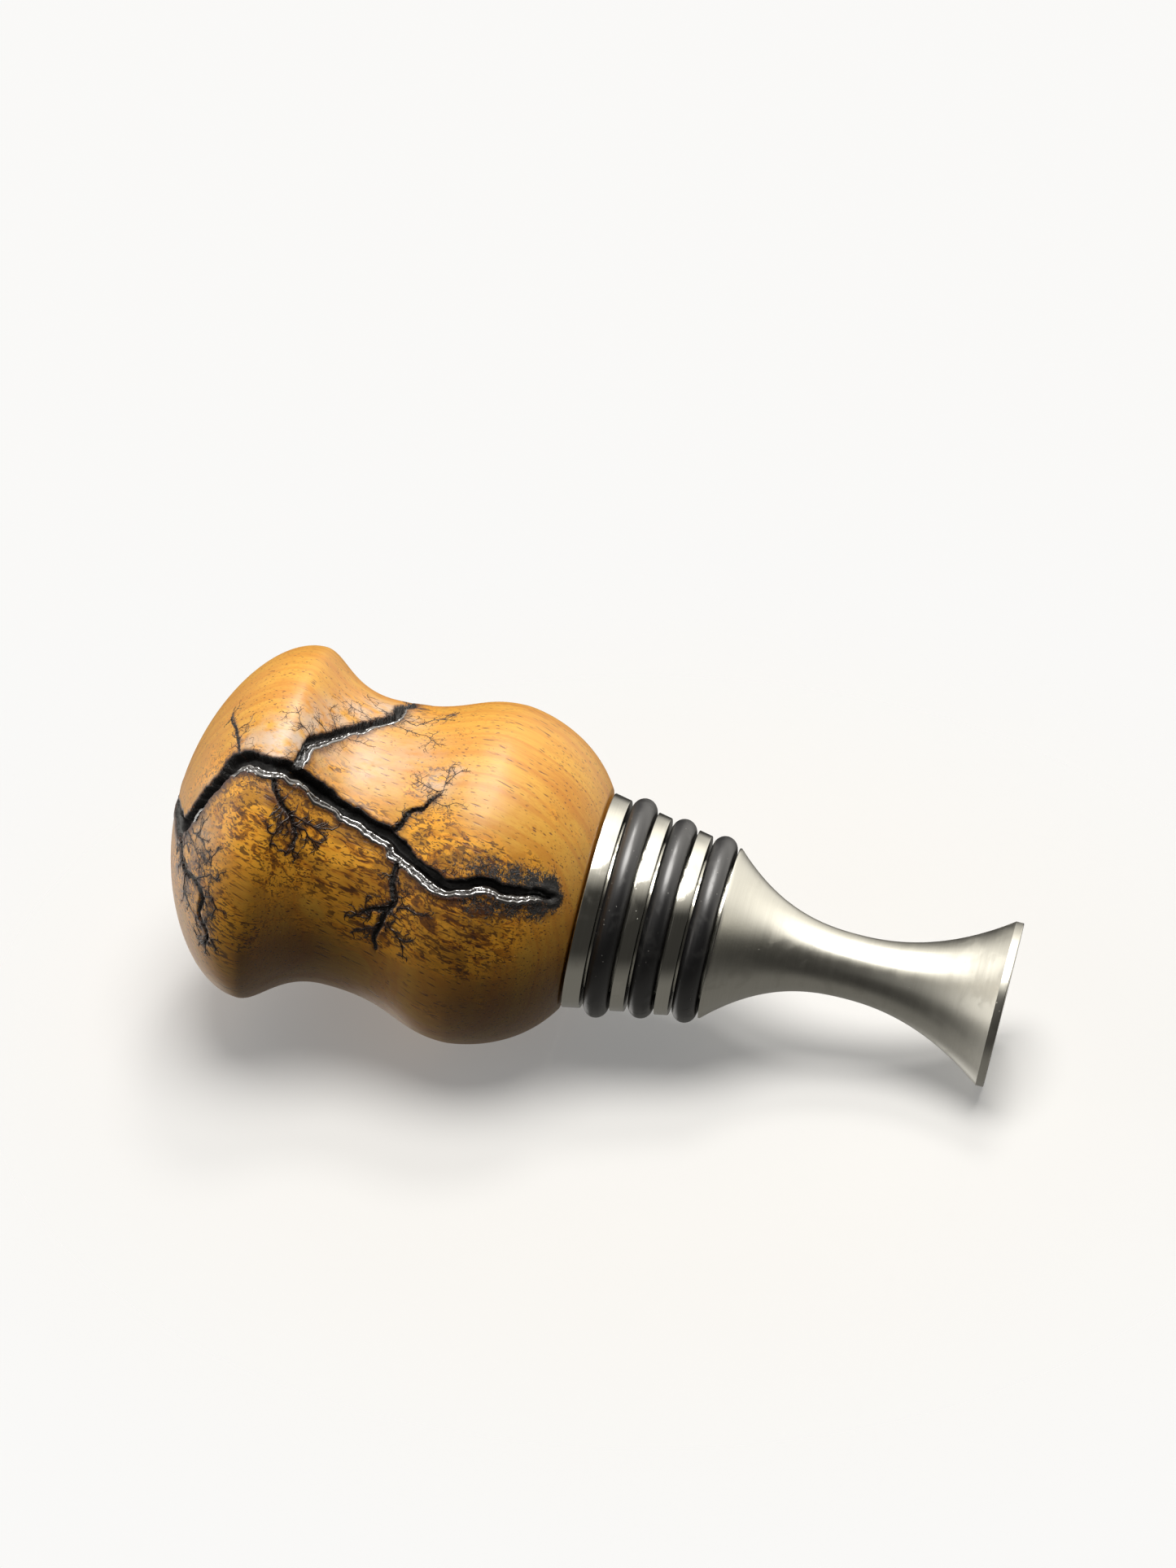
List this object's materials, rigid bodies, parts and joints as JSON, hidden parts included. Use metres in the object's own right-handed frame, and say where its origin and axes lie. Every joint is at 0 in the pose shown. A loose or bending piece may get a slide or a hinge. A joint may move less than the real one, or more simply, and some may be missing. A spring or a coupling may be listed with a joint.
{
  "type": "wooden bottle stopper",
  "caption": "Turned wooden knob with a branching burnt channel, on a conical stainless-steel plug with rubber rings and a waisted tail; closes an opened bottle.",
  "frame": {"origin": "centre of the foot's flat end, on which the stopper stands", "axes": "+Z along the turning axis from the foot to the top of the knob; -Y is the side that carries the burnt channel; +X to its right when the stopper stands"},
  "size_m": [0.0354, 0.0354, 0.083],
  "materials": {
    "lacquered_wood": "glossy clear lacquer over honey-brown wood, with black burnt channels",
    "stainless_steel": "fine satin turning marks on the tail, polished lands on the plug",
    "zinc_plated_steel": "plain plated thread, hidden",
    "black_rubber": "smooth semi-gloss, slightly dusty"
  },
  "bodies": {
    "root": {"wooden_knob": "lacquered_wood", "stopper_body": "stainless_steel", "threaded_stud": "zinc_plated_steel", "o_ring_upper": "black_rubber", "o_ring_middle": "black_rubber", "o_ring_lower": "black_rubber"}
  },
  "joints": []
}
